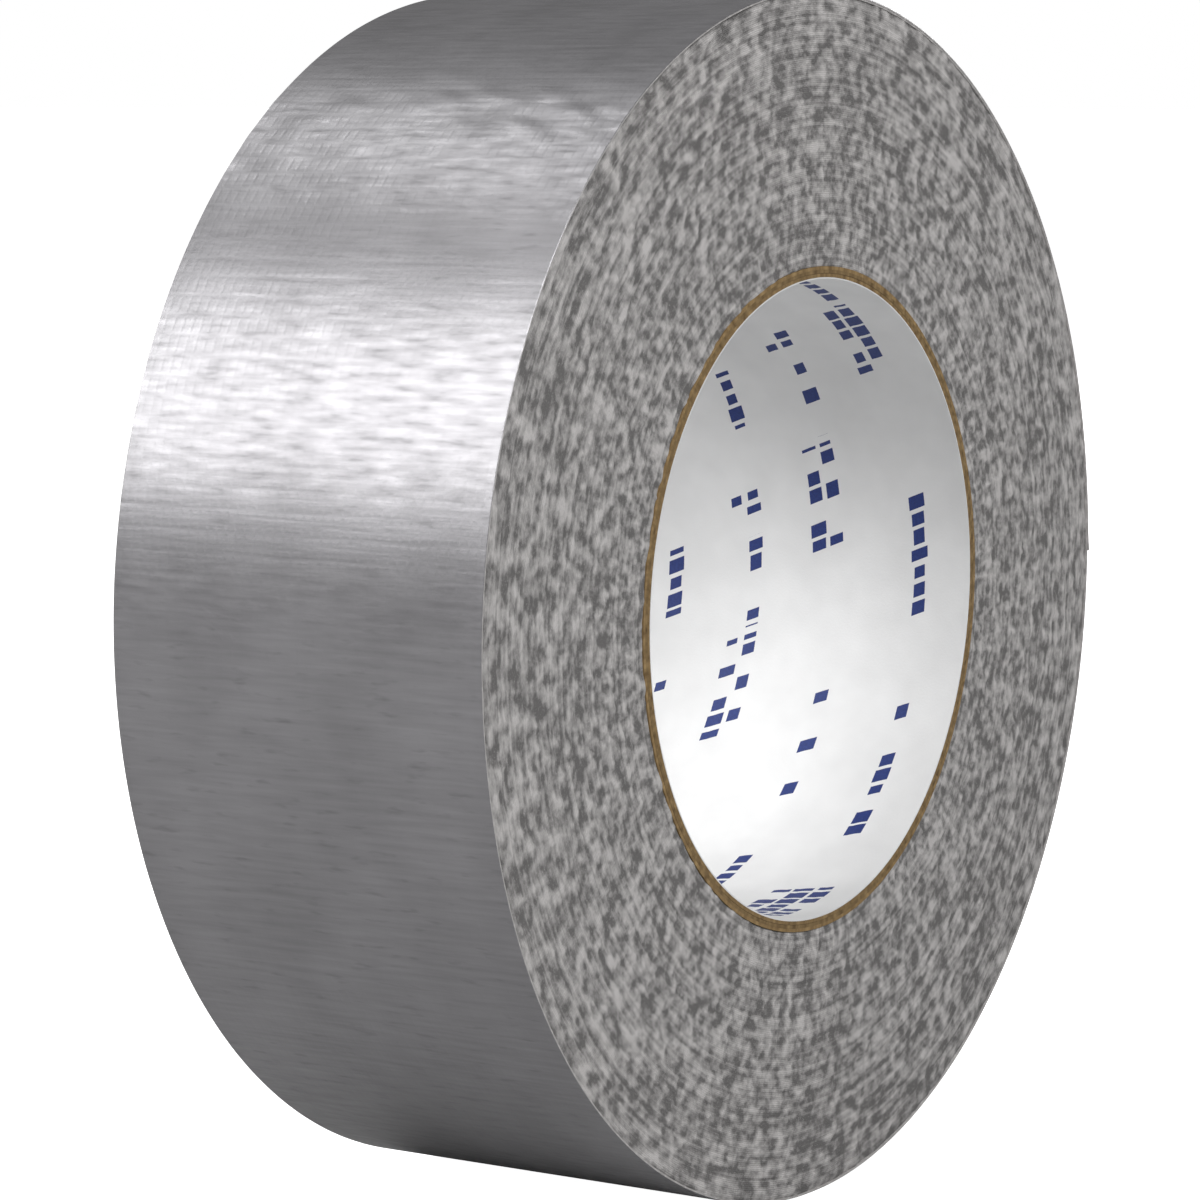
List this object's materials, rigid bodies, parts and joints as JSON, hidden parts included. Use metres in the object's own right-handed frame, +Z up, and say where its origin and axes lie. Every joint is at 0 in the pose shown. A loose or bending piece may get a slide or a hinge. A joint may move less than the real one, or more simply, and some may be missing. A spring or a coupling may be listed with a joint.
{
  "type": "duct tape roll",
  "caption": "Roll of silver cloth-backed tape wound on a thick paper core, with a free end that peels off the roll.",
  "frame": {"origin": "centre of the bore, half way between the two side faces", "axes": "+Y along the bore, the face seen in the picture is at -Y; +Z up with the roll standing on its edge; the free end lies on the +X side"},
  "size_m": [0.1455, 0.05, 0.1453],
  "materials": {
    "liner_paper": "smooth white paper, printed with small blue bars in slanting rows",
    "kraft_paper": "raw brown kraft board",
    "tape": "satin silver-grey polythene film over woven cloth"
  },
  "bodies": {
    "roll": {"core_liner": "liner_paper", "core_ply_inner": "kraft_paper", "core_ply_middle": "kraft_paper", "core_ply_outer": "kraft_paper", "wound_tape": "tape"},
    "end_1": {"free_end_1": "tape"},
    "end_2": {"free_end_2": "tape"},
    "end_3": {"free_end_3": "tape"},
    "end_4": {"free_end_4": "tape"},
    "end_5": {"free_end_5": "tape"},
    "end_6": {"free_end_6": "tape"},
    "end_7": {"free_end_7": "tape"},
    "end_8": {"free_end_8": "tape"}
  },
  "joints": [
    {"name": "peel_1", "type": "hinge", "parent": "roll", "child": "end_1", "pos_m": [0.01263, 0, 0.07164], "axis": [0, -1, 0], "range_deg": [0, 16]},
    {"name": "peel_2", "type": "hinge", "parent": "end_1", "child": "end_2", "pos_m": [0.02488, 0, 0.06837], "axis": [0, -1, 0], "range_deg": [0, 16]},
    {"name": "peel_3", "type": "hinge", "parent": "end_2", "child": "end_3", "pos_m": [0.03638, 0, 0.06301], "axis": [0, -1, 0], "range_deg": [0, 16]},
    {"name": "peel_4", "type": "hinge", "parent": "end_3", "child": "end_4", "pos_m": [0.04677, 0, 0.05574], "axis": [0, -1, 0], "range_deg": [0, 16]},
    {"name": "peel_5", "type": "hinge", "parent": "end_4", "child": "end_5", "pos_m": [0.05575, 0, 0.04678], "axis": [0, -1, 0], "range_deg": [0, 16]},
    {"name": "peel_6", "type": "hinge", "parent": "end_5", "child": "end_6", "pos_m": [0.06303, 0, 0.03639], "axis": [0, -1, 0], "range_deg": [0, 16]},
    {"name": "peel_7", "type": "hinge", "parent": "end_6", "child": "end_7", "pos_m": [0.0684, 0, 0.0249], "axis": [0, -1, 0], "range_deg": [0, 16]},
    {"name": "peel_8", "type": "hinge", "parent": "end_7", "child": "end_8", "pos_m": [0.07169, 0, 0.01264], "axis": [0, -1, 0], "range_deg": [0, 16]}
  ],
  "couplings": [
    {"joint": "peel_2", "follows": "peel_1", "ratio": 1},
    {"joint": "peel_3", "follows": "peel_1", "ratio": 1},
    {"joint": "peel_4", "follows": "peel_1", "ratio": 1},
    {"joint": "peel_5", "follows": "peel_1", "ratio": 1},
    {"joint": "peel_6", "follows": "peel_1", "ratio": 1},
    {"joint": "peel_7", "follows": "peel_1", "ratio": 1},
    {"joint": "peel_8", "follows": "peel_1", "ratio": 1}
  ]
}
